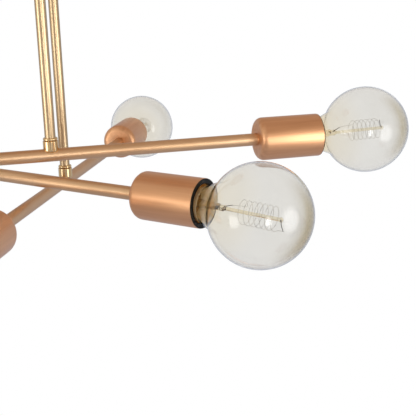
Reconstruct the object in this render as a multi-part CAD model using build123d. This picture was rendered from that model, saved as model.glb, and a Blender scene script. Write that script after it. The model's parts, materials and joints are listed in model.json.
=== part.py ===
from build123d import *
import math
import os

# Ceiling light with three straight arms at three heights. Each arm swivels on its own
# vertical rod and carries a socket cup and a clear globe lamp at both ends.
# Millimetres, +Z up, origin in the middle of the face that lies against the ceiling.

# Layout: arm a hangs highest, b and c each one step lower
arm_names = ("a", "b", "c")
end_names = ("long", "short")
rod_angle = {"a": -60.0, "b": 180.0, "c": 60.0}
arm_angle = {"a": 12.0, "b": -34.5, "c": 76.5}
rod_circle_radius = 60.0
top_arm_drop = 320.0
arm_step = 26.0
reach = {"long": 219.0, "short": 194.0}

# Clearances, and how closely an edge matches the size it is picked by
slip_clearance = 0.05
running_clearance = 0.08
drop_in_clearance = 0.15
lamp_clearance = 0.4
nut_clearance = 0.3
swivel_gap = 0.3
seat_gap = 0.1
edge_match = 0.02

# Arm tube
arm_diameter = 13.2
arm_wall = 1.1
wire_hole_diameter = 5.0

# Drop rod
rod_diameter = 11.0
rod_wall = 1.4
rod_top_depth = 8.0

# Swivel between rod and arm, with heights taken from the top of the arm tube
swivel_height = 8.4
swivel_skirt_depth = 3.1
swivel_skirt_radius = 2.2
swivel_edge_radius = 0.5
swivel_roof = 3.5
swivel_wall = 1.7
rim_overhang = 1.9
rim_height = 2.9
rim_edge_radius = 1.2
spindle_wall = 1.5
spindle_grip = 12.0
swivel_nut_thickness = 2.4
swivel_nut_wall = 1.7

# Canopy and its fixings
canopy_margin = 35.0
canopy_depth = 25.0
canopy_wall = 1.2
canopy_edge_radius = 8.0
collar_wall = 4.5
collar_height = 8.0
collar_edge_radius = 1.5
rod_nut_wall = 3.0
rod_nut_thickness = 5.0
strap_end = 9.0
strap_width = 24.0
strap_thickness = 2.0
strap_corner_radius = 6.0
box_slot_spacing = 79.4
box_slot_length = 14.0
box_slot_width = 5.0
wire_entry_diameter = 11.0
screw_spacing = 120.0
screw_diameter = 4.0
knob_diameter = 10.0
knob_height = 8.0
knob_radius = 2.5

# Socket cup
cup_wall = 1.0
cup_shoulder_radius = 7.0
cup_nut_wall = 2.4
cup_nut_thickness = 3.0
cup_wiring_space = 14.7

# Lamp holder and its contacts
holder_rim_height = 0.6
holder_rim_inset = 0.2
holder_flange_depth = 4.0
holder_flange_step = 1.4
holder_wall = 2.25
holder_base = 4.0
holder_boss_wall = 3.0
holder_boss_length = 12.0
holder_ledge = 1.7
shell_wall = 0.8
shell_recess = 2.0
shell_skirt_recess = 3.0
shell_length = 20.0
contact_length = 15.0
contact_width = 7.0
contact_thickness = 0.6
contact_gap = 0.6

# Globe lamp
globe_diameter = 95.0
glass_wall = 0.8
neck_length = 18.1
neck_seat_radius = 13.5
neck_flare_angle = 23.4
neck_fillet_radius = 10.0
neck_plug_length = 4.4
neck_seal_height = 1.0
neck_seal_end = 4.0
cap_diameter = 26.4
cap_wall = 0.5
cap_length = 20.0
cap_depth = 7.6
cap_cone_length = 4.0
cap_cone_end_radius = 8.0
cap_tip_radius = 4.5
cap_tip_length = 2.5
flare_thickness = 1.0
stem_radius = 4.0
stem_length = 22.0
pinch_radius = 3.2
pinch_length = 7.0
post_radius = 1.8
post_past_centre = 20.0
post_ball_radius = 2.3

# Filament
filament_diameter = 0.5
filament_radius = 11.0
filament_turns = 6.75
filament_lead = 18.0
filament_tail = 3.6
samples_per_quarter = 20

# How far each lamp is turned in its socket, and how far it leans down in the loose thread
lamp_roll = {
    "a_long": 130.0,
    "a_short": 60.0,
    "b_long": 10.0,
    "b_short": 150.0,
    "c_long": 110.0,
    "c_short": 0.0,
}
lamp_lean = {
    "a_long": -1.6,
    "a_short": 0.0,
    "b_long": 3.3,
    "b_short": 0.0,
    "c_long": 1.3,
    "c_short": 0.0,
}

# Sizes that follow from the ones above
arm_radius = arm_diameter / 2
rod_radius = rod_diameter / 2
rod_bore_radius = rod_radius - rod_wall
spindle_radius = rod_bore_radius - slip_clearance
swivel_nut_radius = spindle_radius + slip_clearance + swivel_nut_wall
swivel_bore_radius = swivel_nut_radius + nut_clearance
swivel_radius = swivel_bore_radius + swivel_wall
swivel_top = arm_radius + swivel_height
swivel_ceiling = swivel_top - swivel_roof
swivel_nut_top = swivel_ceiling - seat_gap
swivel_nut_bottom = swivel_nut_top - swivel_nut_thickness
rim_radius = rod_radius + rim_overhang
rim_bottom = swivel_top + swivel_gap
rim_top = rim_bottom + rim_height
canopy_radius = rod_circle_radius + canopy_margin
canopy_floor = canopy_wall - canopy_depth
screw_radius = screw_diameter / 2

flare_slope = math.tan(math.radians(neck_flare_angle))
globe_radius = globe_diameter / 2
globe_height = globe_radius + neck_length
cap_radius = cap_diameter / 2
cap_end = cap_length + cap_cone_length + cap_tip_length
plug_radius = cap_radius - cap_wall - slip_clearance
plug_bore_radius = plug_radius - glass_wall
pinch_top = stem_length + pinch_length
post_tip = globe_height + post_past_centre
coil_bottom = pinch_top + filament_lead
coil_height = post_tip - filament_tail - coil_bottom
coil_pitch = coil_height / filament_turns

lean_slope = math.sin(math.radians(max(abs(angle) for angle in lamp_lean.values())))
neck_rise = cap_depth + holder_rim_height
neck_mouth_radius = neck_seat_radius + neck_rise * flare_slope
cap_play = lean_slope * cap_length
neck_play = lean_slope * (neck_rise + neck_mouth_radius * flare_slope)

shell_bore_radius = cap_radius + lamp_clearance + cap_play
shell_radius = shell_bore_radius + shell_wall
shell_front = cap_depth + shell_recess
shell_end = shell_front + shell_length
mouth_depth = shell_front + shell_wall
holder_bore_radius = shell_radius + slip_clearance
holder_mouth_radius = neck_mouth_radius + lamp_clearance + neck_play
holder_radius = holder_mouth_radius + holder_wall
holder_flange_radius = holder_radius + holder_flange_step
holder_floor = cap_depth + cap_end + contact_gap + contact_thickness
holder_back = holder_floor + holder_base
cup_bore_radius = holder_flange_radius + drop_in_clearance
cup_radius = cup_bore_radius + cup_wall
holder_rim_radius = cup_radius - holder_rim_inset
cup_length = holder_back + holder_boss_length + cup_wiring_space + cup_nut_thickness + cup_wall

os.makedirs("parts", exist_ok=True)


def write(shape, name):
    export_step(shape, f"parts/{name}.step")


def bar(radius, bottom, top):
    """Round bar on the Z axis."""
    return Pos(0, 0, (bottom + top) / 2) * Cylinder(radius, top - bottom)


def turned(points):
    """Solid of revolution about Z from (radius, height) corners."""
    corners = [(radius, 0, height) for radius, height in points]
    return revolve(make_face(Polyline(*corners, close=True)), Axis.Z)


def tube(outer_radius, inner_radius, bottom, top):
    return bar(outer_radius, bottom, top) - bar(inner_radius, bottom, top)


def hex_nut(bore_radius, wall, bottom, thickness):
    outline = RegularPolygon(bore_radius + wall, 6, major_radius=False) - Circle(bore_radius)
    return extrude(Plane.XY.offset(bottom) * outline, thickness)


def rounded_rim(shape, height, radius, rounding):
    """Round over the circular edge of one radius at one height."""
    circles = shape.edges().filter_by(GeomType.CIRCLE)
    level = [edge for edge in circles if math.isclose(edge.arc_center.Z, height, abs_tol=edge_match)]
    rim = [edge for edge in level if math.isclose(edge.radius, radius, abs_tol=edge_match)]
    return fillet(rim, rounding)


def arm_origin(name):
    """Where the rod's axis crosses the arm's axis."""
    angle = math.radians(rod_angle[name])
    level = -top_arm_drop - arm_step * arm_names.index(name)
    return Vector(rod_circle_radius * math.cos(angle), rod_circle_radius * math.sin(angle), level)


def rod_place(name):
    return Location(arm_origin(name))


def arm_place(name):
    """Frame of an arm: Z along the rod, X along the arm towards its long end."""
    return Location(arm_origin(name), (0, 0, arm_angle[name]))


def socket_place(name, end):
    """Frame of a socket: origin in the cup's rim, Z outward along the arm."""
    turn = math.radians(arm_angle[name] + 180 * end_names.index(end))
    outward = Vector(math.cos(turn), math.sin(turn), 0)
    sideways = Vector(-math.sin(turn), math.cos(turn), 0)
    rim = arm_origin(name) + outward * (reach[end] + cup_length)
    return Plane(origin=rim, x_dir=sideways, z_dir=outward).location


def lamp_place(name, end):
    """Frame of a lamp: origin in the cap's rim, Z out of the socket along the leaning lamp."""
    lamp = f"{name}_{end}"
    return socket_place(name, end) * Pos(0, 0, -cap_depth) * Rot(lamp_lean[lamp], 0, lamp_roll[lamp])


def at_rods(piece):
    """One copy of a canopy piece at each rod."""
    return [Pos(arm_origin(name).X, arm_origin(name).Y) * piece for name in arm_names]


def at_screws(piece):
    """One copy of a piece at each canopy screw."""
    return [Pos(0, side * screw_spacing / 2) * piece for side in (-1, 1)]


# Canopy: a spun pan with its open side against the ceiling
def build_canopy():
    pan = rounded_rim(bar(canopy_radius, -canopy_depth, 0), -canopy_depth, canopy_radius, canopy_edge_radius)
    hollow_radius = canopy_radius - canopy_wall
    hollow = bar(hollow_radius, canopy_floor, 0)
    hollow = rounded_rim(hollow, canopy_floor, hollow_radius, canopy_edge_radius - canopy_wall)
    rod_hole = bar(rod_radius + drop_in_clearance, -canopy_depth, canopy_floor)
    screw_hole = bar(screw_radius + drop_in_clearance, -canopy_depth, canopy_floor)
    return pan - hollow - at_rods(rod_hole) - at_screws(screw_hole)


# Strap that screws to the ceiling box: two slots for the box and two tapped holes
def build_strap():
    outline = RectangleRounded(strap_width, screw_spacing + 2 * strap_end, strap_corner_radius)
    outline -= Circle(wire_entry_diameter / 2)
    outline -= at_screws(Circle(screw_radius + slip_clearance))
    for side in (-1, 1):
        outline -= Pos(0, side * box_slot_spacing / 2) * SlotOverall(box_slot_length, box_slot_width, 90)
    return extrude(outline, -strap_thickness)


# Canopy screws with knob heads, which clamp the pan to the strap
def build_canopy_screws():
    knob_bottom = -canopy_depth - knob_height
    knob = bar(knob_diameter / 2, knob_bottom, -canopy_depth)
    knob = rounded_rim(knob, knob_bottom, knob_diameter / 2, knob_radius)
    return Compound(at_screws(knob + bar(screw_radius, -canopy_depth, 0)))


def build_rod_nuts():
    nut = hex_nut(rod_radius + slip_clearance, rod_nut_wall, canopy_floor, rod_nut_thickness)
    return Compound(at_rods(nut))


def build_rod_collars():
    bore_radius = rod_radius + slip_clearance
    collar_bottom = -canopy_depth - collar_height
    collar = tube(bore_radius + collar_wall, bore_radius, collar_bottom, -canopy_depth)
    collar = rounded_rim(collar, collar_bottom, bore_radius + collar_wall, collar_edge_radius)
    return Compound(at_rods(collar))


def build_rod(name):
    top = -arm_origin(name).Z - rod_top_depth
    return rod_place(name) * tube(rod_radius, rod_bore_radius, rim_top, top)


# Spindle: a bead that shows under the rod, and a hollow shaft that the arm turns on
def build_spindle():
    bead = bar(rim_radius, rim_bottom, rim_top)
    for height in (rim_bottom, rim_top):
        bead = rounded_rim(bead, height, rim_radius, rim_edge_radius)
    shaft_top = rim_top + spindle_grip
    shaft = bar(spindle_radius, swivel_nut_bottom, shaft_top)
    return bead + shaft - bar(spindle_radius - spindle_wall, swivel_nut_bottom, shaft_top)


def build_swivel_nut():
    return tube(swivel_nut_radius, spindle_radius + slip_clearance, swivel_nut_bottom, swivel_nut_top)


# Swivel body: sits over the arm tube like a saddle and hangs on the spindle's nut
def build_swivel_body():
    skirt = arm_radius - swivel_skirt_depth
    body = bar(swivel_radius, skirt, swivel_top)
    body = rounded_rim(body, skirt, swivel_radius, swivel_skirt_radius)
    body = rounded_rim(body, swivel_top, swivel_radius, swivel_edge_radius)
    body -= bar(swivel_bore_radius, 0, swivel_ceiling)
    body -= bar(spindle_radius + running_clearance, 0, swivel_top)
    return body - Rot(0, 90, 0) * bar(arm_radius, -swivel_radius, swivel_radius)


# Arm tube: runs through the backs of both cups into the bosses of the lamp holders
def build_arm():
    inside_cup = cup_length - holder_back
    start = -reach["short"] - inside_cup
    end = reach["long"] + inside_cup
    pipe = Rot(0, 90, 0) * tube(arm_radius, arm_radius - arm_wall, start, end)
    return pipe - bar(wire_hole_diameter / 2, 0, arm_diameter)


# Socket pieces, in the socket's frame: the rim at zero, the arm on the negative side
def build_cup():
    cup_floor = cup_wall - cup_length
    cup = rounded_rim(bar(cup_radius, -cup_length, 0), -cup_length, cup_radius, cup_shoulder_radius)
    hollow = bar(cup_bore_radius, cup_floor, 0)
    hollow = rounded_rim(hollow, cup_floor, cup_bore_radius, cup_shoulder_radius - cup_wall)
    return cup - hollow - bar(arm_radius + slip_clearance, -cup_length, cup_floor)


def build_cup_nut():
    return hex_nut(arm_radius + slip_clearance, cup_nut_wall, cup_wall - cup_length, cup_nut_thickness)


def build_holder():
    boss_bore_radius = arm_radius + slip_clearance
    boss_radius = boss_bore_radius + holder_boss_wall
    boss_back = holder_back + holder_boss_length
    ledge_radius = holder_bore_radius - holder_ledge
    profile = [
        (holder_mouth_radius, holder_rim_height),
        (holder_rim_radius, holder_rim_height),
        (holder_rim_radius, seat_gap),
        (holder_flange_radius, seat_gap),
        (holder_flange_radius, -holder_flange_depth),
        (holder_radius, -holder_flange_depth),
        (holder_radius, -holder_back),
        (boss_radius, -holder_back),
        (boss_radius, -boss_back),
        (boss_bore_radius, -boss_back),
        (boss_bore_radius, -holder_back),
        (wire_hole_diameter / 2, -holder_back),
        (wire_hole_diameter / 2, -holder_floor),
        (ledge_radius, -holder_floor),
        (ledge_radius, -shell_end),
        (holder_bore_radius, -shell_end),
        (holder_bore_radius, -mouth_depth),
        (holder_mouth_radius, -mouth_depth),
    ]
    return turned(profile)


# Brass screw shell with a skirt that lines the holder's mouth, and the contact leaf behind the lamp's tip
def build_contacts():
    skirt_radius = holder_mouth_radius - slip_clearance
    shell = tube(shell_radius, shell_bore_radius, -shell_end, -shell_front)
    shell += tube(skirt_radius, shell_bore_radius, -mouth_depth, -shell_front)
    shell += tube(skirt_radius, skirt_radius - shell_wall, -mouth_depth, -shell_skirt_recess)
    leaf_middle = contact_thickness / 2 - holder_floor
    leaf = Pos(0, 0, leaf_middle) * Box(contact_length, contact_width, contact_thickness)
    return [shell, leaf]


# Lamp pieces, in the lamp's frame: the cap's rim at zero, the globe on the positive side
def globe_outline(inset):
    """Points of the globe with its flared neck, drawn in from the outer face by inset."""
    slant = math.radians(neck_flare_angle)
    sphere = globe_radius - inset
    hollow = neck_fillet_radius + inset
    seat = neck_seat_radius - inset / math.cos(slant)
    side_line = seat + hollow / math.cos(slant)
    squared = 1 + flare_slope**2
    linear = 2 * (side_line * flare_slope - globe_height)
    constant = side_line**2 + globe_height**2 - (sphere + hollow) ** 2
    height = (-linear - math.sqrt(linear**2 - 4 * squared * constant)) / (2 * squared)
    hollow_centre = Vector(side_line + height * flare_slope, 0, height)
    globe_centre = Vector(0, 0, globe_height)
    on_neck = hollow_centre + Vector(-math.cos(slant), 0, math.sin(slant)) * hollow
    on_globe = globe_centre + (hollow_centre - globe_centre).normalized() * sphere
    between = hollow_centre + (on_neck + on_globe - hollow_centre * 2).normalized() * hollow
    side = globe_centre + Vector(sphere, 0, 0)
    pole = globe_centre + Vector(0, 0, sphere)
    return seat, on_neck, between, on_globe, side, pole


def build_glass():
    seat, on_neck, between, on_globe, side, pole = globe_outline(0)
    inner_seat, inner_neck, inner_between, inner_globe, inner_side, inner_pole = globe_outline(glass_wall)
    plug_end = (plug_bore_radius, 0, -neck_plug_length)
    seal_bottom = (plug_bore_radius, 0, neck_seal_height)
    seal_top = (inner_seat + neck_seal_end * flare_slope, 0, neck_seal_end)
    edges = [
        Polyline(plug_end, (plug_radius, 0, -neck_plug_length), (plug_radius, 0, 0), (seat, 0, 0), on_neck),
        ThreePointArc(on_neck, between, on_globe),
        ThreePointArc(on_globe, side, pole),
        Line(pole, inner_pole),
        ThreePointArc(inner_pole, inner_side, inner_globe),
        ThreePointArc(inner_globe, inner_between, inner_neck),
        Polyline(inner_neck, seal_top, seal_bottom, plug_end),
    ]
    return revolve(make_face(edges), Axis.Z)


def build_cap():
    cone_end = cap_length + cap_cone_length
    bore_radius = cap_radius - cap_wall
    profile = [
        (bore_radius, 0),
        (cap_radius, 0),
        (cap_radius, -cap_length),
        (cap_cone_end_radius, -cone_end),
        (cap_tip_radius, -cone_end),
        (cap_tip_radius, -cap_end),
        (0, -cap_end),
        (0, cap_wall - cone_end),
        (cap_cone_end_radius - cap_wall, cap_wall - cone_end),
        (bore_radius, cap_wall - cap_length),
    ]
    return turned(profile)


def build_stem():
    flare_bottom = -neck_plug_length
    stem = bar(plug_bore_radius - slip_clearance, flare_bottom, flare_bottom + flare_thickness)
    stem += bar(stem_radius, flare_bottom, stem_length)
    stem += bar(pinch_radius, stem_length, pinch_top)
    stem += bar(post_radius, pinch_top, post_tip)
    return stem + Pos(0, 0, post_tip) * Sphere(post_ball_radius)


# Filament: one wire from the pinch, wound round the post, and hooked to the ball on its tip
def coil_point(turns):
    angle = 2 * math.pi * turns
    height = coil_bottom + coil_pitch * turns
    return Vector(filament_radius * math.cos(angle), filament_radius * math.sin(angle), height)


def coil_direction(turns):
    angle = 2 * math.pi * turns
    around = 2 * math.pi * filament_radius
    return Vector(-around * math.sin(angle), around * math.cos(angle), coil_pitch).normalized()


def two_arcs(start, start_direction, end, end_direction):
    """Two arcs that leave one point and reach another in the given directions."""
    span = end - start
    along = span.dot(start_direction + end_direction)
    spread = 2 * (1 - start_direction.dot(end_direction))
    handle = (math.sqrt(along**2 + spread * span.dot(span)) - along) / spread
    first_corner = start + start_direction * handle
    second_corner = end - end_direction * handle
    middle = (first_corner + second_corner) / 2
    first = TangentArc(start, middle, tangent=start_direction)
    second = TangentArc(middle, end, tangent=second_corner - first_corner)
    return [first, second]


def print_least_gap(path, quarters):
    """Least gap of the wire to itself, between points at least half a turn apart."""
    count = samples_per_quarter * quarters
    points = [path.position_at(step / count) for step in range(count + 1)]
    half_turn = 2 * samples_per_quarter
    pairs = [(near, far) for index, near in enumerate(points) for far in points[index + half_turn:]]
    least = min((far - near).length for near, far in pairs) - filament_diameter
    print("filament: least gap to itself", round(least, 2), "mm")


def build_filament():
    quarters = round(4 * filament_turns)
    stops = [filament_turns * index / quarters for index in range(quarters + 1)]
    last_angle = 2 * math.pi * filament_turns
    last_side = Vector(math.cos(last_angle), math.sin(last_angle), 0)
    lead = Vector(pinch_radius + slip_clearance, 0, stem_length + pinch_length / 2)
    hook = last_side * (post_ball_radius + slip_clearance) + Vector(0, 0, post_tip)
    edges = two_arcs(lead, Vector(1, 0, 0), coil_point(0), coil_direction(0))
    for begin, finish in zip(stops, stops[1:]):
        begin_ends = (coil_point(begin), coil_direction(begin))
        finish_ends = (coil_point(finish), coil_direction(finish))
        edges += two_arcs(*begin_ends, *finish_ends)
    edges += two_arcs(coil_point(filament_turns), coil_direction(filament_turns), hook, -last_side)
    path = Wire(edges)
    print_least_gap(path, quarters)
    return sweep(Plane(origin=lead, z_dir=(1, 0, 0)) * Circle(filament_diameter / 2), path=path)


# The pieces that stay with the ceiling
write(build_canopy(), "canopy")
write(build_strap(), "ceiling_strap")
write(build_canopy_screws(), "canopy_screws")
write(build_rod_nuts(), "rod_nuts")
write(build_rod_collars(), "rod_collars")
spindle = build_spindle()
swivel_nut = build_swivel_nut()
write(Compound([rod_place(name) * spindle for name in arm_names]), "swivel_spindles")
write(Compound([rod_place(name) * swivel_nut for name in arm_names]), "swivel_nuts")
for name in arm_names:
    write(build_rod(name), f"rod_{name}")

# The pieces that swivel with each arm
arm = build_arm()
swivel_body = build_swivel_body()
cup = build_cup()
cup_nut = build_cup_nut()
holder = build_holder()
contacts = build_contacts()
for name in arm_names:
    places = [socket_place(name, end) for end in end_names]
    write(arm_place(name) * arm, f"arm_{name}")
    write(arm_place(name) * swivel_body, f"swivel_body_{name}")
    write(Compound([place * cup_nut for place in places]), f"cup_nuts_{name}")
    write(Compound([place * piece for place in places for piece in contacts]), f"contacts_{name}")
    for end, place in zip(end_names, places):
        write(place * cup, f"cup_{name}_{end}")
        write(place * holder, f"holder_{name}_{end}")

# The pieces of each lamp, which comes out along its socket
lamp_pieces = {"glass": build_glass(), "cap": build_cap(), "stem": build_stem(), "filament": build_filament()}
for name in arm_names:
    for end in end_names:
        lamp = f"{name}_{end}"
        place = lamp_place(name, end)
        for piece_name, piece in lamp_pieces.items():
            write(place * piece, f"lamp_{piece_name}_{lamp}")
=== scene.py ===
import json
import math

import bmesh
import bpy
from mathutils import Matrix, Vector


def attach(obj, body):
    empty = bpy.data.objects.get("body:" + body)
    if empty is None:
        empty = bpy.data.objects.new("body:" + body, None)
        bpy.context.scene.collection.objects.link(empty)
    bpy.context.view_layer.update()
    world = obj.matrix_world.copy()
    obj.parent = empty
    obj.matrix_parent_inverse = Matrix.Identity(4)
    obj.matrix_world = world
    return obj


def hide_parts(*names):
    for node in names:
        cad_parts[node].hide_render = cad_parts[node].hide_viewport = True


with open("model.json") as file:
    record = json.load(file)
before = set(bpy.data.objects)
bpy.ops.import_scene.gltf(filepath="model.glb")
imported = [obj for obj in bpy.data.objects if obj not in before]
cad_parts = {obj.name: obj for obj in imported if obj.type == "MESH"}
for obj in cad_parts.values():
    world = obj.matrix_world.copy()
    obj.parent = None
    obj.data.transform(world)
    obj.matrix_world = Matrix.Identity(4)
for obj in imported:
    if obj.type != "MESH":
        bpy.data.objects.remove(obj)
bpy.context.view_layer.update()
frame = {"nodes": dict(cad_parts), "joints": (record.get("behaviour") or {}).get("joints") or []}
nodes = frame["nodes"]
joints = {joint["name"]: joint for joint in frame["joints"]}

# Sizes in millimetres, as in the solids. Heights run outward, away from the arm: those of cups, holders
# and shells start at the cup's rim, and those of a lamp's pieces at the outer end of its screw cap.
MM = 0.001
ARMS = ("a", "b", "c")
ENDS = ("long", "short")
REACH = {"long": 219.0, "short": 194.0}

ARM_RADIUS = 6.6
ARM_BORE_RADIUS = 5.5
SLIP_GAP = 0.05
ARM_HOLE_RADIUS = ARM_RADIUS + SLIP_GAP

CUP_RADIUS = 23.14
CUP_WALL = 1.0
CUP_LENGTH = 70.0
CUP_SHOULDER = 7.0
CUP_RIM_ROUNDING = 0.4
CUP_HOLE_ROUNDING = 0.3

HOLDER_RIM_TOP = 0.6
HOLDER_RIM_BOTTOM = 0.1
HOLDER_RIM_RADIUS = 22.94
HOLDER_RIM_ROUNDING = 0.25
HOLDER_RIM_BACK_ROUNDING = 0.1
HOLDER_FLANGE_RADIUS = 21.99
HOLDER_FLANGE_BACK = -4.0
HOLDER_FLANGE_ROUNDING = 0.4
HOLDER_RADIUS = 20.59
HOLDER_MOUTH_RADIUS = 18.35
HOLDER_MOUTH_FLOOR = -10.4
HOLDER_BORE_RADIUS = 15.6
HOLDER_LEDGE = 1.7
HOLDER_BACK = -39.3
HOLDER_BACK_ROUNDING = 1.0
HOLDER_FLOOR = -35.3
HOLDER_WIRE_HOLE_RADIUS = 2.5
BOSS_WALL = 3.0
BOSS_LENGTH = 12.0
BOSS_ROUNDING = 0.5

SHELL_BORE_RADIUS = 14.75
SHELL_SKIRT_RADIUS = 18.29
SHELL_SKIRT_FRONT = -3.0
SHELL_SHEET = 0.3
SHELL_FRONT = -9.6
SHELL_BACK = -29.6
SHELL_THREAD_DEPTH = 0.5
CONTACT_SIZE = (15.0, 7.0, 0.6)

CAP_DEPTH = 7.6
CAP_RADIUS = 13.2
CAP_WALL = 0.5
CAP_LENGTH = 20.0
CAP_CONE_LENGTH = 4.0
CAP_CONE_END_RADIUS = 8.0
CAP_CONE_ROUNDING = 0.8
CAP_TIP_RADIUS = 4.5
CAP_TIP_LENGTH = 2.5
CAP_TIP_ROUNDING = 1.2
THREAD_PITCH = 3.6
THREAD_DEPTH = 0.7
THREAD_FADE = 3.0

GLOBE_RADIUS = 47.5
GLOBE_HEIGHT = 65.6
GLASS_WALL = 0.8
NECK_SEAT_RADIUS = 13.5
NECK_FLARE = math.radians(23.4)
NECK_FILLET = 10.0
NECK_PLUG_LENGTH = 4.4
NECK_PLUG_RADIUS = 12.65
NECK_SEAL_HEIGHT = 1.0
NECK_LACQUER_TOP = 11.0

STEM_RADIUS = 4.0
STEM_LENGTH = 22.0
STEM_END_ROUNDING = 0.6
STEM_FLARE_RADIUS = 11.6
STEM_FLARE_THICKNESS = 1.0
STEM_FLARE_ROUNDING = 0.3
STEM_ROOT_ROUNDING = 3.0
PINCH_RADIUS = 3.2
PINCH_LENGTH = 7.0
PINCH_TAPER = 1.5
PINCH_ROUNDING = 1.0
PINCH_FLATTEN = 0.55
POST_RADIUS = 1.8
POST_TIP = 85.6
BEAD_RADIUS = 2.3
BEAD_START_DROP = 1.4
BEAD_START_ANGLE = math.radians(-38)

FILAMENT_RADIUS = 11.0
FILAMENT_TURNS = 6.75
FILAMENT_BOTTOM = 47.0
FILAMENT_TOP = 82.0
FILAMENT_WIRE = 0.3
LEAD_WIRE = 0.7
LEAD_ROOT_SHARE = 0.6
LEAD_SHARE = 0.78
LEAD_END_HEIGHT = 33.0
HOOK_END_HEIGHT = 87.5
HOOK_SAG = 0.6

# How far each lamp is rolled in its socket and leans in it, in degrees
LAMP_ROLL = {
    "a_long": 130.0,
    "a_short": 60.0,
    "b_long": 10.0,
    "b_short": 150.0,
    "c_long": 110.0,
    "c_short": 0.0,
}
LAMP_LEAN = {
    "a_long": -1.6,
    "a_short": 0.0,
    "b_long": 3.3,
    "b_short": 0.0,
    "c_long": 1.3,
    "c_short": 0.0,
}

# Fineness of the meshes
ROUND_SEGMENTS = 128
CORNER_STEPS = 6
THREAD_STEPS = 60
FILLET_STEPS = 12
GLOBE_STEPS = 72
BEAD_STEPS = 12
WIRE_SIDES = 10
WIRE_STEPS = 6
COIL_STEPS_PER_TURN = 40
SHARP_ANGLE = math.radians(32)

# A smaller radius lies on the axis, and a wire that starts off steeper takes its first side from X
AXIS_TOLERANCE = 1e-6
STEEP_START = 0.9

# The vertex attribute with a piece's own coordinates, and the places of a Mix node's colour sockets
OWN_FRAME = "own_frame"
MIX_FIRST_COLOUR = 6
MIX_SECOND_COLOUR = 7
MIX_RESULT_COLOUR = 2

# Textures: waves per metre along each axis, depths of relief in metres, and the noise's usual range,
# detail and roughness
METAL_CLOUDS = (18, 18, 18)
CUP_STREAKS = (170, 170, 7)
FILAMENT_GLINTS = (220, 220, 220)
PLASTIC_GRAIN = (900, 900, 900)
ROUND_BRUSHING = (60, 60, 900)
LONG_BRUSHING = (3500, 3500, 12)
CUP_BRUSHING = (1000, 1000, 15)
EVEN_BRUSHING = (400, 400, 400)
GLOBE_WAVES = (14, 14, 14)
NECK_WAVES = (60, 60, 120)
STEM_WAVES = (120, 120, 60)
BRUSH_DEPTH = 0.00002
GLASS_WAVE_DEPTH = 0.001
NOISE_LOW = 0.3
NOISE_HIGH = 0.7
FULL_DETAIL = 3.0
LOW_DETAIL = 2.0
SOFT_NOISE = 0.6
CRISP_NOISE = 0.7

# Finishes: strengths of relief, the lacquer's roughness, the plastic's sheen, the glass's index of
# refraction, and the colours of metal seen edge-on
METAL_RELIEF = 0.03
PLASTIC_RELIEF = 0.1
GLASS_RELIEF = 0.05
LACQUER_ROUGHNESS = 0.38
PLASTIC_SHEEN = 0.15
GLASS_IOR = 1.45
PLAIN_EDGE = (1.0, 1.0, 1.0)
COPPER_EDGE = (0.80, 0.66, 0.52)
ARM_EDGE = (0.50, 0.39, 0.28)

# Tints of the globes: colour, the heights from which and to which it grows, and the slants likewise
SHOULDER_AMBER = ((0.87, 0.83, 0.74), (50.0, 20.0), None)
NECK_AMBER = ((0.86, 0.74, 0.50), (18.0, 4.0), None)
# The crown's tint is painted shade: a dark tan that shows only where the crown is seen edge-on
CROWN_PAINTED_SHADE = ((0.37, 0.30, 0.17), (88.0, 113.0), (0.18, 0.55))
# The grey at the limbs is partly the longer path through the wall and partly painted shade for the globe's
# dark outline
LIMB_TINT_AND_SHADE = ((0.42, 0.40, 0.37), None, (0.65, 0.98))
GLOBE_TINTS = (SHOULDER_AMBER, NECK_AMBER, CROWN_PAINTED_SHADE, LIMB_TINT_AND_SHADE)

# Stage in metres, with the camera's lens and sensor in millimetres. The studio's heights and spans are
# measured on directions of length one.
FLOOR_LEVEL = -2.4
FLOOR_SIZE = 30.0
FLOOR_BACK_EDGE = 1.5
FLOOR_COLOUR = (0.58, 0.67, 1.0, 1)
FLOOR_ROUGHNESS = 0.9
WHITE = (1, 1, 1, 1)
GLOSSY_SHARE = 0.2
STUDIO_ABOVE = (0.35, 0.23, 0.16)
STUDIO_ABOVE_HEIGHT = 0.75
STUDIO_LEVEL = (0.50, 0.48, 0.46)
STUDIO_LEVEL_HEIGHT = 0.05
BACKDROP = (0.40, 0.45, 0.58)
BACKDROP_SPAN = (0.2, 0.7)
BACKDROP_TOP = (0.1, 0.5)
BOUNCE = (0.66, 0.62, 0.57)
BOUNCE_FROM = (-0.80, -0.45, 0.40)
BOUNCE_SPAN = (0.45, 1.0)
LIGHT_AIM = Vector((0.15, -0.12, -0.34))
CAMERA_PLACE = (0.1450, -0.8918, -0.1431)
CAMERA_YAW = math.radians(2.92)
CAMERA_PITCH = math.radians(15.87)
CAMERA_ROLL = math.radians(-1.37)
CAMERA_LENS = 72.35
CAMERA_SENSOR = 36.0
CAMERA_CLIP_START = 0.01

# A soft light's face in parts of its width and height: its middle, and how far from that the bright core
# and the faded edge lie. A square metre of it takes this many watts for a radiance of one.
LIGHT_MIDDLE = (0.5, 0.5, 0.0)
LIGHT_CORE = 0.175
LIGHT_EDGE = 0.5
WATTS_PER_RADIANCE = 4


# Shapes

def vectors(points):
    return [Vector(point) for point in points]


def rounded(corners):
    """Outline of (radius, height) points from (radius, height, rounding) corners."""
    outline = []
    for index, (radius, height, rounding) in enumerate(corners):
        corner = Vector((radius, height))
        if rounding == 0:
            outline.append(corner)
            continue
        before = (Vector(corners[index - 1][:2]) - corner).normalized()
        after = (Vector(corners[(index + 1) % len(corners)][:2]) - corner).normalized()
        half = before.angle(after) / 2
        centre = corner + (before + after).normalized() * (rounding / math.sin(half))
        start = corner + before * (rounding / math.tan(half)) - centre
        sweep = start.angle_signed(corner + after * (rounding / math.tan(half)) - centre)
        for step in range(CORNER_STEPS + 1):
            turned = start.copy()
            turned.rotate(Matrix.Rotation(-sweep * step / CORNER_STEPS, 2))
            outline.append(centre + turned)
    return outline


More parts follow.
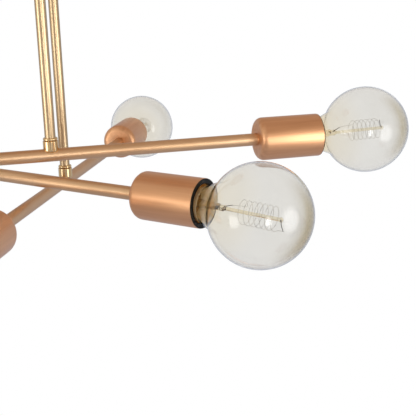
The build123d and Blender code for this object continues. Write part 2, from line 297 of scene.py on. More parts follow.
def arc(centre, radius, first, last, steps):
    """Points of an arc from the first to the last angle."""
    angles = [first + (last - first) * step / steps for step in range(steps + 1)]
    return [centre + Vector((math.cos(angle), math.sin(angle))) * radius for angle in angles]


def turns_of(count):
    """Angles that share a full turn out evenly."""
    return [2 * math.pi * index / count for index in range(count)]


def new_mesh():
    """An empty mesh whose points also keep their place in the piece's own frame."""
    mesh = bmesh.new()
    mesh.verts.layers.float_vector.new(OWN_FRAME)
    return mesh


def add_ring(mesh, points, place):
    """Adds points given in millimetres in the piece's own frame."""
    layer = mesh.verts.layers.float_vector[OWN_FRAME]
    ring = []
    for point in points:
        vertex = mesh.verts.new(place @ (point * MM))
        vertex[layer] = point * MM
        ring.append(vertex)
    return ring


def join_rings(mesh, ring, following):
    """Adds faces between two rings of points, either of which may be one point on the axis."""
    if len(ring) == 1 and len(following) == 1:
        return
    count = max(len(ring), len(following))
    for index in range(count):
        after = (index + 1) % count
        if len(ring) == 1:
            mesh.faces.new((ring[0], following[index], following[after]))
        elif len(following) == 1:
            mesh.faces.new((ring[index], following[0], ring[after]))
        else:
            mesh.faces.new((ring[index], following[index], following[after], ring[after]))


def add_turned(mesh, outline, place, warp=None):
    """Adds the closed solid that a closed (radius, height) outline makes round the Z axis."""
    rings = []
    for radius, height in outline:
        turns = turns_of(ROUND_SEGMENTS if radius > AXIS_TOLERANCE else 1)
        points = [Vector((radius * math.cos(turn), radius * math.sin(turn), height)) for turn in turns]
        moved = [warp(point) if warp else point for point in points]
        rings.append(add_ring(mesh, moved, place))
    for ring, following in zip(rings, rings[1:] + rings[:1]):
        join_rings(mesh, ring, following)


def add_wire(mesh, points, diameter, place):
    """Adds a round wire with flat ends along a run of points."""
    rings = []
    start = (points[1] - points[0]).normalized()
    across = Vector((0, 0, 1)) if abs(start.z) < STEEP_START else Vector((1, 0, 0))
    for index, point in enumerate(points):
        ahead = points[min(index + 1, len(points) - 1)] - points[max(index - 1, 0)]
        across = (across - ahead * (across.dot(ahead) / ahead.dot(ahead))).normalized()
        beside = ahead.normalized().cross(across)
        spokes = [across * math.cos(turn) + beside * math.sin(turn) for turn in turns_of(WIRE_SIDES)]
        rings.append(add_ring(mesh, [point + spoke * (diameter / 2) for spoke in spokes], place))
    for ring, following in zip(rings, rings[1:]):
        join_rings(mesh, ring, following)
    mesh.faces.new(rings[0])
    mesh.faces.new(rings[-1])


def add_block(mesh, size, centre, place):
    """Adds a box with its middle at a point of the piece's own frame."""
    half = Vector(size) / 2
    corners = ((-half.x, -half.y), (half.x, -half.y), (half.x, half.y), (-half.x, half.y))
    levels = []
    for rise in (-half.z, half.z):
        levels.append(add_ring(mesh, [centre + Vector((x, y, rise)) for x, y in corners], place))
    join_rings(mesh, *levels)
    for level in levels:
        mesh.faces.new(level)


def finish_mesh(name, mesh):
    """Makes an object with smooth faces and sharp edges from the mesh being built."""
    bmesh.ops.recalc_face_normals(mesh, faces=mesh.faces)
    data = bpy.data.meshes.new(name)
    mesh.to_mesh(data)
    mesh.free()
    data.shade_smooth()
    data.set_sharp_from_angle(angle=SHARP_ANGLE)
    made = bpy.data.objects.new(name, data)
    bpy.context.scene.collection.objects.link(made)
    return made


def turned_piece(name, outline, place, warp=None):
    mesh = new_mesh()
    add_turned(mesh, outline, place, warp)
    return finish_mesh(name, mesh)


def wire_piece(name, runs, diameter, place):
    mesh = new_mesh()
    for points in runs:
        add_wire(mesh, points, diameter, place)
    return finish_mesh(name, mesh)


def thread(low, high, depth):
    """A warp that draws a rounded screw thread outward in the wall between two heights."""
    def warp(point):
        reach = math.hypot(point.x, point.y)
        if reach == 0 or not low < point.z < high:
            return point
        fade = min(1.0, (point.z - low) / THREAD_FADE, (high - point.z) / THREAD_FADE)
        phase = 2 * math.pi * point.z / THREAD_PITCH - math.atan2(point.y, point.x)
        drawn = reach + depth * fade * (0.5 - 0.5 * math.cos(phase))
        return Vector((point.x * drawn / reach, point.y * drawn / reach, point.z))
    return warp


def smooth_run(corners):
    """Points of a smooth curve through the given corners."""
    padded = [corners[0] * 2 - corners[1]] + corners + [corners[-1] * 2 - corners[-2]]
    run = []
    for before, first, second, after in zip(padded, padded[1:], padded[2:], padded[3:]):
        for step in range(WIRE_STEPS):
            share = step / WIRE_STEPS
            straight = (second - before) * share
            square = (before * 2 - first * 5 + second * 4 - after) * share**2
            cube = (first * 3 - before - second * 3 + after) * share**3
            run.append(first + (straight + (square + cube)) / 2)
    return run + [corners[-1]]


# Places

def arm_origin(arm):
    return Vector(joints[f"swivel_{arm}"]["pos_m"])


def outward(arm, end):
    return Vector(joints[f"lamp_{arm}_{end}_out"]["axis"]).normalized()


def along(origin, axis):
    """Frame with Z along a level axis, X level across it and Y up."""
    across = Vector((0, 0, 1)).cross(axis)
    upward = axis.cross(across)
    turn = Matrix((across, upward, axis)).transposed()
    return Matrix.Translation(origin) @ turn.to_4x4()


def socket_place(arm, end):
    """Frame in the middle of a cup's rim."""
    axis = outward(arm, end)
    return along(arm_origin(arm) + axis * (REACH[end] + CUP_LENGTH) * MM, axis)


def lamp_place(arm, end):
    """Frame at the outer end of a lamp's screw cap."""
    key = f"{arm}_{end}"
    lean = Matrix.Rotation(math.radians(LAMP_LEAN[key]), 4, "X")
    roll = Matrix.Rotation(math.radians(LAMP_ROLL[key]), 4, "Z")
    return socket_place(arm, end) @ Matrix.Translation((0, 0, -CAP_DEPTH * MM)) @ lean @ roll


# Materials

class Nodes:
    """A node tree, with short calls to add and link its nodes."""

    def __init__(self, tree):
        self.tree = tree

    def add(self, kind, **settings):
        node = self.tree.nodes.new(kind)
        for key, value in settings.items():
            setattr(node, key, value)
        return node

    def link(self, source, target):
        self.tree.links.new(source, target)

    def maths(self, operation, first, second):
        """The result of an operation on two values, either of which may be a plain number."""
        node = self.add("ShaderNodeMath", operation=operation)
        for socket, value in zip(node.inputs, (first, second)):
            if isinstance(value, float):
                socket.default_value = value
            else:
                self.link(value, socket)
        return node.outputs["Value"]

    def remap(self, value, source, target=(0.0, 1.0), kind="SMOOTHSTEP"):
        """Maps one span of a value onto another, with soft ends unless it is told to be linear."""
        node = self.add("ShaderNodeMapRange", interpolation_type=kind)
        for name, number in zip(("From Min", "From Max", "To Min", "To Max"), (*source, *target)):
            node.inputs[name].default_value = number
        self.link(value, node.inputs["Value"])
        return node.outputs["Result"]

    def ramp(self, factor, *stops):
        """A colour that changes evenly between two (position, colour) stops."""
        node = self.add("ShaderNodeValToRGB")
        for element, (position, colour) in zip(node.color_ramp.elements, stops):
            element.position = position
            element.color = (*colour, 1)
        self.link(factor, node.inputs["Fac"])
        return node.outputs["Color"]

    def blend(self, factor, shade, colour):
        """Mixes a shade with a plain colour."""
        node = self.add("ShaderNodeMix", data_type="RGBA")
        node.inputs[MIX_SECOND_COLOUR].default_value = (*colour, 1)
        self.link(factor, node.inputs["Factor"])
        self.link(shade, node.inputs[MIX_FIRST_COLOUR])
        return node.outputs[MIX_RESULT_COLOUR]

    def mix_shaders(self, factor, first, second, output):
        """Sends a mix of two shaders to an output node."""
        node = self.add("ShaderNodeMixShader")
        for socket, source in zip(node.inputs, (factor, first, second)):
            self.link(source, socket)
        self.link(node.outputs["Shader"], output.inputs["Surface"])

    def background_share(self):
        """One for camera and transmission rays, and a part of that for glossy ones."""
        path = self.add("ShaderNodeLightPath").outputs
        glossy = self.maths("MULTIPLY", path["Is Glossy Ray"], GLOSSY_SHARE)
        seen = self.maths("MAXIMUM", path["Is Camera Ray"], path["Is Transmission Ray"])
        return self.maths("MAXIMUM", glossy, seen)


class Surface(Nodes):
    """A material's nodes, with textures that are measured in metres."""

    def __init__(self, name):
        self.material = bpy.data.materials.new(name)
        self.material.use_nodes = True
        super().__init__(self.material.node_tree)
        self.shader = self.tree.nodes["Principled BSDF"]
        self.output = self.tree.nodes["Material Output"]

    def place(self, own_frame):
        """Coordinates in the piece's own frame or in the row frame."""
        if own_frame:
            return self.add("ShaderNodeAttribute", attribute_name=OWN_FRAME).outputs["Vector"]
        return self.add("ShaderNodeTexCoord").outputs["Object"]

    def noise(self, waves, own_frame=True, detail=FULL_DETAIL, roughness=SOFT_NOISE):
        """Noise with a number of waves per metre along each axis."""
        mapping = self.add("ShaderNodeMapping")
        mapping.inputs["Scale"].default_value = waves
        self.link(self.place(own_frame), mapping.inputs["Vector"])
        texture = self.add("ShaderNodeTexNoise")
        texture.inputs["Scale"].default_value = 1.0
        texture.inputs["Detail"].default_value = detail
        texture.inputs["Roughness"].default_value = roughness
        self.link(mapping.outputs["Vector"], texture.inputs["Vector"])
        return texture.outputs["Fac"]

    def shades(self, noise, dark, light):
        """Colours from dark to light over the middle of a noise's range."""
        return self.ramp(noise, (NOISE_LOW, dark), (NOISE_HIGH, light))

    def vary_roughness(self, noise, rough):
        """Roughness from low to high over the middle of a noise's range."""
        spread = self.remap(noise, (NOISE_LOW, NOISE_HIGH), rough, "LINEAR")
        self.link(spread, self.shader.inputs["Roughness"])

    def bump(self, noise, strength, depth):
        node = self.add("ShaderNodeBump")
        node.inputs["Strength"].default_value = strength
        node.inputs["Distance"].default_value = depth
        self.link(noise, node.inputs["Height"])
        self.link(node.outputs["Normal"], self.shader.inputs["Normal"])

    def by_height(self, heights):
        """Zero to one between two heights of the piece's own frame, in millimetres."""
        parts = self.add("ShaderNodeSeparateXYZ")
        self.link(self.place(True), parts.inputs["Vector"])
        return self.remap(parts.outputs["Z"], [height * MM for height in heights])

    def by_slant(self, slants):
        """Zero to one between two slants, where zero faces the viewer and one is edge-on."""
        return self.remap(self.add("ShaderNodeLayerWeight").outputs["Facing"], slants)

    def tint(self, shade, colour, heights, slants):
        """Brings a colour in by height, by slant, or by both together."""
        if not slants:
            share = self.by_height(heights)
        elif not heights:
            share = self.by_slant(slants)
        else:
            share = self.maths("MULTIPLY", self.by_height(heights), self.by_slant(slants))
        return self.blend(share, shade, colour)


def metal(
    name,
    dark,
    light,
    rough,
    brushing,
    clouds=METAL_CLOUDS,
    own_frame=True,
    lacquer=0.0,
    relief=METAL_RELIEF,
    edge=PLAIN_EDGE,
):
    """Metal with soft colour clouds, and a fine grain drawn out along the axis with the fewest waves."""
    made = Surface(name)
    mottle = made.noise(clouds, own_frame)
    lines = made.noise(brushing, own_frame, roughness=CRISP_NOISE)
    made.link(made.shades(mottle, dark, light), made.shader.inputs["Base Color"])
    made.vary_roughness(lines, rough)
    made.bump(lines, relief, BRUSH_DEPTH)
    made.shader.inputs["Metallic"].default_value = 1.0
    made.shader.inputs["Specular Tint"].default_value = (*edge, 1)
    made.shader.inputs["Coat Weight"].default_value = lacquer
    made.shader.inputs["Coat Roughness"].default_value = LACQUER_ROUGHNESS
    return made.material


def plastic(name, dark, light, rough):
    """Moulded plastic with a fine mottled grain."""
    made = Surface(name)
    grain = made.noise(PLASTIC_GRAIN, detail=LOW_DETAIL)
    made.link(made.shades(grain, dark, light), made.shader.inputs["Base Color"])
    made.vary_roughness(grain, rough)
    made.bump(grain, PLASTIC_RELIEF, BRUSH_DEPTH)
    made.shader.inputs["Specular IOR Level"].default_value = PLASTIC_SHEEN
    return made.material


def glass(name, dark, light, waves, tints=(), clearness=1.0, rough=0.0):
    """Blown glass with faint waves and the given tints, which lets tinted light through in its shadow."""
    made = Surface(name)
    drift = made.noise(waves, detail=LOW_DETAIL)
    shade = made.shades(drift, dark, light)
    for tint in tints:
        shade = made.tint(shade, *tint)
    made.link(shade, made.shader.inputs["Base Color"])
    made.bump(drift, GLASS_RELIEF, GLASS_WAVE_DEPTH)
    made.shader.inputs["Roughness"].default_value = rough
    made.shader.inputs["IOR"].default_value = GLASS_IOR
    made.shader.inputs["Transmission Weight"].default_value = clearness
    clear = made.add("ShaderNodeBsdfTransparent")
    made.link(shade, clear.inputs["Color"])
    shadow = made.add("ShaderNodeLightPath").outputs["Is Shadow Ray"]
    made.mix_shaders(shadow, made.shader.outputs["BSDF"], clear.outputs["BSDF"], made.output)
    return made.material


cup_metal = metal(
    "cup_copper",
    dark=(0.73, 0.365, 0.165),
    light=(0.87, 0.475, 0.235),
    rough=(0.36, 0.50),
    brushing=CUP_BRUSHING,
    clouds=CUP_STREAKS,
    lacquer=1.0,
    relief=0.07,
    edge=COPPER_EDGE,
)
arm_metal = metal(
    "arm_copper",
    dark=(0.77, 0.485, 0.255),
    light=(0.82, 0.53, 0.29),
    rough=(0.43, 0.47),
    brushing=LONG_BRUSHING,
    lacquer=1.0,
    relief=0.015,
    edge=ARM_EDGE,
)
rod_metal = metal(
    "rod_brass",
    dark=(0.56, 0.405, 0.235),
    light=(0.61, 0.455, 0.27),
    rough=(0.32, 0.35),
    brushing=LONG_BRUSHING,
    own_frame=False,
    relief=0.01,
)
bright_metal = metal(
    "polished_brass",
    dark=(0.74, 0.52, 0.26),
    light=(0.80, 0.58, 0.31),
    rough=(0.12, 0.17),
    brushing=EVEN_BRUSHING,
    own_frame=False,
)
canopy_metal = metal(
    "canopy_copper",
    dark=(0.77, 0.395, 0.185),
    light=(0.83, 0.445, 0.215),
    rough=(0.30, 0.38),
    brushing=ROUND_BRUSHING,
    own_frame=False,
)
zinc_metal = metal(
    "zinc_steel",
    dark=(0.55, 0.55, 0.54),
    light=(0.68, 0.68, 0.66),
    rough=(0.30, 0.42),
    brushing=EVEN_BRUSHING,
    own_frame=False,
)
shell_metal = metal(
    "shell_brass",
    dark=(0.84, 0.62, 0.30),
    light=(0.92, 0.72, 0.40),
    rough=(0.55, 0.65),
    brushing=ROUND_BRUSHING,
)
cap_metal = metal(
    "cap_brass",
    dark=(0.72, 0.50, 0.24),
    light=(0.84, 0.62, 0.34),
    rough=(0.20, 0.30),
    brushing=ROUND_BRUSHING,
)
# The wire's patches from near black to pale are painted glints along the coil
filament_metal = metal(
    "filament_wire",
    dark=(0.06, 0.05, 0.04),
    light=(0.80, 0.73, 0.62),
    rough=(0.30, 0.45),
    brushing=EVEN_BRUSHING,
    clouds=FILAMENT_GLINTS,
)
lead_metal = metal(
    "lead_wire",
    dark=(0.05, 0.04, 0.03),
    light=(0.09, 0.07, 0.05),
    rough=(0.35, 0.5),
    brushing=EVEN_BRUSHING,
)
holder_plastic = plastic(
    "black_plastic",
    dark=(0.004, 0.004, 0.004),
    light=(0.008, 0.008, 0.008),
    rough=(0.32, 0.42),
)
globe_glass = glass(
    "globe_glass",
    dark=(0.845, 0.838, 0.815),
    light=(0.885, 0.878, 0.858),
    waves=GLOBE_WAVES,
    tints=GLOBE_TINTS,
)
neck_glass = glass(
    "neck_lacquer",
    dark=(0.80, 0.63, 0.38),
    light=(0.88, 0.73, 0.48),
    waves=NECK_WAVES,
    clearness=0.36,
    rough=0.10,
)
stem_glass = glass(
    "stem_glass",
    dark=(0.88, 0.80, 0.62),
    light=(0.94, 0.88, 0.73),
    waves=STEM_WAVES,
)


def dress(piece, material, body, slot, *replaced):
    """Gives a new piece its material and body, and hides the nodes that it stands for. Its slot is not
    used.
    """
    piece.data.materials.append(material)
    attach(piece, body)
    if replaced:
        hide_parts(*replaced)


def paint(node, material):
    """Gives a carried-over node its material."""
    data = nodes[node].data
    data.materials.clear()
    data.materials.append(material)


# Pieces that keep their solids

paint("canopy", canopy_metal)
for node in ("ceiling_strap", "rod_nuts", "swivel_nuts"):
    paint(node, zinc_metal)
for node in ("canopy_screws", "rod_collars", "swivel_spindles"):
    paint(node, bright_metal)
for arm in ARMS:
    paint(f"rod_{arm}", rod_metal)
    paint(f"swivel_body_{arm}", bright_metal)
    paint(f"cup_nuts_{arm}", zinc_metal)


# Pieces of an arm

def build_arm(arm):
    """The tube, which ends in the bosses of the two lamp holders."""
    inside_cup = CUP_LENGTH + HOLDER_BACK
    low = -REACH["short"] - inside_cup
    high = REACH["long"] + inside_cup
    outline = vectors([
        (ARM_RADIUS, low),
        (ARM_RADIUS, high),
        (ARM_BORE_RADIUS, high),
        (ARM_BORE_RADIUS, low),
    ])
    return turned_piece(f"arm_tube_{arm}", outline, along(arm_origin(arm), outward(arm, "long")))


def build_contacts(arm):
    """Both sockets' pressed screw shells, whose skirts line the holders' mouths, and the contact leaves."""
    lip = SHELL_FRONT - SHELL_SHEET
    heights = [lip + (SHELL_BACK - lip) * step / THREAD_STEPS for step in range(THREAD_STEPS + 1)]
    inner = [Vector((SHELL_BORE_RADIUS, height)) for height in heights]
    outer = [Vector((SHELL_BORE_RADIUS + SHELL_SHEET, height)) for height in reversed(heights)]
    skirt_bore = SHELL_SKIRT_RADIUS - SHELL_SHEET
    skirt = vectors([
        (SHELL_SKIRT_RADIUS, lip),
        (SHELL_SKIRT_RADIUS, SHELL_SKIRT_FRONT),
        (skirt_bore, SHELL_SKIRT_FRONT),
        (skirt_bore, SHELL_FRONT),
        (SHELL_BORE_RADIUS + SHELL_SHEET, SHELL_FRONT),
    ])
    outline = inner + outer + skirt
    leaf_middle = Vector((0, 0, HOLDER_FLOOR + CONTACT_SIZE[2] / 2))
    mesh = new_mesh()
    for end in ENDS:
        place = socket_place(arm, end)
        add_turned(mesh, outline, place, thread(SHELL_BACK, lip, SHELL_THREAD_DEPTH))
        add_block(mesh, CONTACT_SIZE, leaf_middle, place)
    return finish_mesh(f"screw_shells_{arm}", mesh)


def build_cup(name, place):
    """A spun cup with a rounded shoulder and softened rim."""
    bore = CUP_RADIUS - CUP_WALL
    floor = CUP_WALL - CUP_LENGTH
    outline = rounded([
        (ARM_HOLE_RADIUS, -CUP_LENGTH, CUP_HOLE_ROUNDING),
        (CUP_RADIUS, -CUP_LENGTH, CUP_SHOULDER),
        (CUP_RADIUS, 0, CUP_RIM_ROUNDING),
        (bore, 0, CUP_RIM_ROUNDING),
        (bore, floor, CUP_SHOULDER - CUP_WALL),
        (ARM_HOLE_RADIUS, floor, 0),
    ])
    return turned_piece(name, outline, place)


def build_holder(name, place):
    """The black lamp holder: a ring on the cup's rim, the socket behind it and a boss on the arm."""
    boss_radius = ARM_RADIUS + BOSS_WALL
    boss_back = HOLDER_BACK - BOSS_LENGTH
    ledge_radius = HOLDER_BORE_RADIUS - HOLDER_LEDGE
    outline = rounded([
        (HOLDER_MOUTH_RADIUS, HOLDER_RIM_TOP, HOLDER_RIM_ROUNDING),
        (HOLDER_RIM_RADIUS, HOLDER_RIM_TOP, HOLDER_RIM_ROUNDING),
        (HOLDER_RIM_RADIUS, HOLDER_RIM_BOTTOM, HOLDER_RIM_BACK_ROUNDING),
        (HOLDER_FLANGE_RADIUS, HOLDER_RIM_BOTTOM, 0),
        (HOLDER_FLANGE_RADIUS, HOLDER_FLANGE_BACK, HOLDER_FLANGE_ROUNDING),
        (HOLDER_RADIUS, HOLDER_FLANGE_BACK, HOLDER_FLANGE_ROUNDING),
        (HOLDER_RADIUS, HOLDER_BACK, HOLDER_BACK_ROUNDING),
        (boss_radius, HOLDER_BACK, BOSS_ROUNDING),
        (boss_radius, boss_back, BOSS_ROUNDING),
        (ARM_HOLE_RADIUS, boss_back, 0),
        (ARM_HOLE_RADIUS, HOLDER_BACK, 0),
        (HOLDER_WIRE_HOLE_RADIUS, HOLDER_BACK, 0),
        (HOLDER_WIRE_HOLE_RADIUS, HOLDER_FLOOR, 0),
        (ledge_radius, HOLDER_FLOOR, 0),
        (ledge_radius, SHELL_BACK, 0),
        (HOLDER_BORE_RADIUS, SHELL_BACK, 0),
        (HOLDER_BORE_RADIUS, HOLDER_MOUTH_FLOOR, 0),
        (HOLDER_MOUTH_RADIUS, HOLDER_MOUTH_FLOOR, 0),
    ])
    return turned_piece(name, outline, place)


# Pieces of a lamp

def globe_side(inset):
    """The globe's side from the neck's seat up to the pole, drawn in from the outer face by inset.

    A hollow fillet joins the neck's straight flare to the sphere. Its centre lies beside the flare by the
    fillet's radius, and away from the sphere's centre by both radii, which gives a quadratic in its height.
    """
    sphere = GLOBE_RADIUS - inset
    hollow = NECK_FILLET + inset
    slope = math.tan(NECK_FLARE)
    seat = NECK_SEAT_RADIUS - inset / math.cos(NECK_FLARE)
    side_line = seat + hollow / math.cos(NECK_FLARE)
    squared = 1 + slope**2
    linear = 2 * (side_line * slope - GLOBE_HEIGHT)
    constant = side_line**2 + GLOBE_HEIGHT**2 - (sphere + hollow) ** 2
    height = (-linear - math.sqrt(linear**2 - 4 * squared * constant)) / (2 * squared)
    hollow_centre = Vector((side_line + height * slope, height))
    globe_centre = Vector((0, GLOBE_HEIGHT))
    meeting = hollow_centre - globe_centre
    rise = math.atan2(meeting.y, meeting.x)
    fillet = arc(hollow_centre, hollow, math.pi - NECK_FLARE, math.pi + rise, FILLET_STEPS)
    globe = arc(globe_centre, sphere, rise, math.pi / 2, GLOBE_STEPS)
    globe[-1].x = 0
    lacquer_edge = Vector((seat + NECK_LACQUER_TOP * slope, NECK_LACQUER_TOP))
    return [Vector((seat, 0)), lacquer_edge] + fillet + globe[1:]


def build_globe(name, place):
    """The blown globe with its flared neck, as a thin closed shell whose neck takes a second material."""
    outer = globe_side(0)
    inner = globe_side(GLASS_WALL)
    plug_bore = NECK_PLUG_RADIUS - GLASS_WALL
    plug = vectors([
        (plug_bore, -NECK_PLUG_LENGTH),
        (NECK_PLUG_RADIUS, -NECK_PLUG_LENGTH),
        (NECK_PLUG_RADIUS, 0),
    ])
    seal = Vector((plug_bore, NECK_SEAL_HEIGHT))
    globe = turned_piece(name, plug + outer + inner[:0:-1] + [seal], place)
    into_lamp = place.inverted()
    for face in globe.data.polygons:
        face.material_index = int((into_lamp @ face.center).z < NECK_LACQUER_TOP * MM)
    return globe


def build_cap(name, place):
    """The screw cap with its rolled thread, cone and tip."""
    root = CAP_RADIUS - THREAD_DEPTH
    cone_end = -CAP_LENGTH - CAP_CONE_LENGTH
    tip = cone_end - CAP_TIP_LENGTH
    floor = cone_end + CAP_WALL
    heights = [-CAP_LENGTH * step / THREAD_STEPS for step in range(THREAD_STEPS + 1)]
    wall = [Vector((root, height)) for height in heights]
    end = rounded([
        (root, -CAP_LENGTH, 0),
        (CAP_CONE_END_RADIUS, cone_end, CAP_CONE_ROUNDING),
        (CAP_TIP_RADIUS, cone_end, 0),
        (CAP_TIP_RADIUS, tip, CAP_TIP_ROUNDING),
        (0, tip, 0),
    ])
    inside = vectors([(0, floor), (CAP_CONE_END_RADIUS - CAP_WALL, floor)])
    lining = [Vector((root - CAP_WALL, height)) for height in reversed(heights)]
    outline = wall + end[1:] + inside + lining
    return turned_piece(name, outline, place, thread(-CAP_LENGTH, 0, THREAD_DEPTH))


def flattened(point):
    """Presses the stem's pinch flat and wide."""
    middle = STEM_LENGTH + PINCH_LENGTH / 2
    near = max(0.0, 1 - abs(point.z - middle) / PINCH_LENGTH)
    press = near * near * (3 - 2 * near)
    return Vector((point.x * (1 + press * PINCH_FLATTEN), point.y * (1 - press * PINCH_FLATTEN), point.z))


def build_stem(name, place):
    """The glass stem: flare, tube, pressed pinch, and the post with its bead."""
    flare = -NECK_PLUG_LENGTH
    flare_top = flare + STEM_FLARE_THICKNESS
    pinch_top = STEM_LENGTH + PINCH_LENGTH
    shaft = rounded([
        (0, flare, 0),
        (STEM_FLARE_RADIUS, flare, 0),
        (STEM_FLARE_RADIUS, flare_top, STEM_FLARE_ROUNDING),
        (STEM_RADIUS, flare_top, STEM_ROOT_ROUNDING),
        (STEM_RADIUS, STEM_LENGTH, STEM_END_ROUNDING),
        (PINCH_RADIUS, STEM_LENGTH + PINCH_TAPER, STEM_END_ROUNDING),
        (PINCH_RADIUS, pinch_top, PINCH_ROUNDING),
        (POST_RADIUS, pinch_top + PINCH_TAPER, PINCH_ROUNDING),
        (POST_RADIUS, POST_TIP - BEAD_START_DROP, 0),
    ])
    bead = arc(Vector((0, POST_TIP)), BEAD_RADIUS, BEAD_START_ANGLE, math.pi / 2, BEAD_STEPS)
    bead[-1].x = 0
    return turned_piece(name, shaft + bead, place, flattened)


def helix(turns):
    """Where the filament is after a number of turns."""
    angle = 2 * math.pi * turns
    height = FILAMENT_BOTTOM + (FILAMENT_TOP - FILAMENT_BOTTOM) * turns / FILAMENT_TURNS
    return Vector((FILAMENT_RADIUS * math.cos(angle), FILAMENT_RADIUS * math.sin(angle), height))


def lead_end():
    """Where the stiff lead from the pinch gives way to the filament."""
    first = helix(0)
    return Vector((first.x * LEAD_SHARE, first.y * LEAD_SHARE, LEAD_END_HEIGHT))


def hook_end():
    """Where the filament hangs on the hook at the post's tip."""
    last = helix(FILAMENT_TURNS)
    return Vector((last.x, last.y, HOOK_END_HEIGHT))


def build_filament(name, place):
    """The wound filament round the post, from the end of the lead to the end of the hook."""
    count = round(FILAMENT_TURNS * COIL_STEPS_PER_TURN)
    coil = [helix(FILAMENT_TURNS * step / count) for step in range(count + 1)]
    return wire_piece(name, [[lead_end()] + coil + [hook_end()]], FILAMENT_WIRE, place)


def build_leads(name, place):
    """The stiff lead from the pinch and the hook at the post's tip, which hold the filament's ends."""
    pinch = Vector((PINCH_RADIUS * LEAD_ROOT_SHARE, 0, STEM_LENGTH + PINCH_LENGTH / 2))
    tip = Vector((0, 0, POST_TIP))
    middle = tip.lerp(hook_end(), 0.5) - Vector((0, 0, HOOK_SAG))
    lead = smooth_run([pinch, lead_end()])
    hook = smooth_run([tip, middle, hook_end()])
    return wire_piece(name, [lead, hook], LEAD_WIRE, place)


# The arms with their sockets and lamps

def add_arm(arm):
    body = f"arm_{arm}_set"
    dress(build_arm(arm), arm_metal, body, "satin_brass", f"arm_{arm}")
    dress(build_contacts(arm), shell_metal, body, "contact_brass", f"contacts_{arm}")


def add_socket(arm, end):
    body = f"arm_{arm}_set"
    key = f"{arm}_{end}"
    place = socket_place(arm, end)
    dress(build_cup(f"socket_cup_{key}", place), cup_metal, body, "satin_brass", f"cup_{key}")
    holder = build_holder(f"lamp_holder_{key}", place)
    dress(holder, holder_plastic, body, "black_plastic", f"holder_{key}")


def add_lamp(arm, end):
    key = f"{arm}_{end}"
    body = f"lamp_{key}"
    place = lamp_place(arm, end)
    globe = build_globe(f"globe_{key}", place)
    dress(globe, globe_glass, body, "amber_glass", f"lamp_glass_{key}")
    globe.data.materials.append(neck_glass)
    dress(build_cap(f"screw_cap_{key}", place), cap_metal, body, "cap_brass", f"lamp_cap_{key}")
    dress(build_stem(f"glass_stem_{key}", place), stem_glass, body, "stem_glass", f"lamp_stem_{key}")
    filament = build_filament(f"filament_{key}", place)
    dress(filament, filament_metal, body, "filament_wire", f"lamp_filament_{key}")
    dress(build_leads(f"filament_leads_{key}", place), lead_metal, body, "filament_wire")


for arm in ARMS:
    add_arm(arm)
    for end in ENDS:
        add_socket(arm, end)
        add_lamp(arm, end)


# Stage: pale floor, soft lights and a white background

def build_world():
    """A studio with brown above, a backdrop and a bright wall at left, which the viewer sees as white."""
    world = bpy.data.worlds.new("studio")
    world.use_nodes = True
    bpy.context.scene.world = world
    made = Nodes(world.node_tree)
    studio = made.tree.nodes["Background"]
    output = made.tree.nodes["World Output"]
    direction = made.add("ShaderNodeTexCoord").outputs["Generated"]
    parts = made.add("ShaderNodeSeparateXYZ")
    made.link(direction, parts.inputs["Vector"])
    level_stop = (STUDIO_LEVEL_HEIGHT, STUDIO_LEVEL)
    above_stop = (STUDIO_ABOVE_HEIGHT, STUDIO_ABOVE)
    shades = made.ramp(parts.outputs["Z"], level_stop, above_stop)
    toward_wall = made.add("ShaderNodeVectorMath", operation="DOT_PRODUCT")
    toward_wall.inputs[1].default_value = Vector(BOUNCE_FROM).normalized()
    made.link(direction, toward_wall.inputs[0])
    walls = made.blend(made.remap(toward_wall.outputs["Value"], BOUNCE_SPAN), shades, BOUNCE)
    behind = made.remap(parts.outputs["Y"], BACKDROP_SPAN)
    over_backdrop = made.remap(parts.outputs["Z"], BACKDROP_TOP)
    backdrop = made.maths("SUBTRACT", behind, made.maths("MULTIPLY", behind, over_backdrop))
    made.link(made.blend(backdrop, walls, BACKDROP), studio.inputs["Color"])
    white = made.add("ShaderNodeBackground")
    white.inputs["Color"].default_value = WHITE
    studio_light = studio.outputs["Background"]
    made.mix_shaders(made.background_share(), studio_light, white.outputs["Background"], output)


def build_floor():
    """A pale floor that ends behind the object, and which the viewer sees as white."""
    bpy.ops.mesh.primitive_plane_add(size=FLOOR_SIZE)
    floor = bpy.context.object
    floor.name = "floor"
    floor.location = (0, FLOOR_BACK_EDGE - FLOOR_SIZE / 2, FLOOR_LEVEL)
    made = Surface("pale_floor")
    made.shader.inputs["Base Color"].default_value = FLOOR_COLOUR
    made.shader.inputs["Roughness"].default_value = FLOOR_ROUGHNESS
    white = made.add("ShaderNodeEmission")
    floor_light = made.shader.outputs["BSDF"]
    made.mix_shaders(made.background_share(), floor_light, white.outputs["Emission"], made.output)
    floor.data.materials.append(made.material)


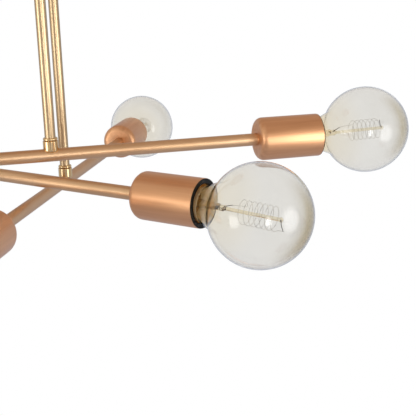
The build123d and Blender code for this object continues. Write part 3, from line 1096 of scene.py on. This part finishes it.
def softbox(name, azimuth, elevation, distance, width, height, radiance):
    """A soft-edged oval light that faces the object, at angles from the viewer's side of it."""
    side = math.radians(azimuth)
    rise = math.radians(elevation)
    toward = Vector((math.sin(side) * math.cos(rise), -math.cos(side) * math.cos(rise), math.sin(rise)))
    data = bpy.data.lights.new(name, "AREA")
    data.shape = "RECTANGLE"
    data.size = width
    data.size_y = height
    data.energy = radiance * WATTS_PER_RADIANCE * width * height
    data.use_nodes = True
    made = Nodes(data.node_tree)
    on_face = made.add("ShaderNodeNewGeometry").outputs["Parametric"]
    from_middle = made.add("ShaderNodeVectorMath", operation="DISTANCE")
    from_middle.inputs[1].default_value = LIGHT_MIDDLE
    made.link(on_face, from_middle.inputs[0])
    fade = made.remap(from_middle.outputs["Value"], (LIGHT_CORE, LIGHT_EDGE), (1.0, 0.0))
    made.link(fade, made.tree.nodes["Emission"].inputs["Strength"])
    light = bpy.data.objects.new(name, data)
    bpy.context.scene.collection.objects.link(light)
    light.location = LIGHT_AIM + toward * distance
    light.rotation_euler = toward.to_track_quat("Z", "Y").to_euler()
    light.visible_camera = False
    light.visible_transmission = False


def build_camera():
    """The photograph's viewpoint."""
    ahead = math.cos(CAMERA_PITCH)
    forward = Vector((math.sin(CAMERA_YAW) * ahead, math.cos(CAMERA_YAW) * ahead, -math.sin(CAMERA_PITCH)))
    level = Vector((math.cos(CAMERA_YAW), -math.sin(CAMERA_YAW), 0))
    upward = level.cross(forward)
    right = level * math.cos(CAMERA_ROLL) + upward * math.sin(CAMERA_ROLL)
    top = upward * math.cos(CAMERA_ROLL) - level * math.sin(CAMERA_ROLL)
    data = bpy.data.cameras.new("camera")
    data.sensor_width = CAMERA_SENSOR
    data.lens = CAMERA_LENS
    data.clip_start = CAMERA_CLIP_START
    camera = bpy.data.objects.new("camera", data)
    bpy.context.scene.collection.objects.link(camera)
    turn = Matrix((right, top, -forward)).transposed().to_4x4()
    camera.matrix_world = Matrix.Translation(CAMERA_PLACE) @ turn
    bpy.context.scene.camera = camera


build_world()
build_floor()
softbox("right_softbox", azimuth=56, elevation=-1, distance=0.89, width=0.74, height=0.86, radiance=3.9)
softbox("left_softbox", azimuth=-60, elevation=-2, distance=1.75, width=1.2, height=1.0, radiance=3.8)
softbox("front_softbox", azimuth=13, elevation=2, distance=1.0, width=0.28, height=0.46, radiance=8.0)
build_camera()
bpy.context.scene.view_settings.view_transform = "Standard"
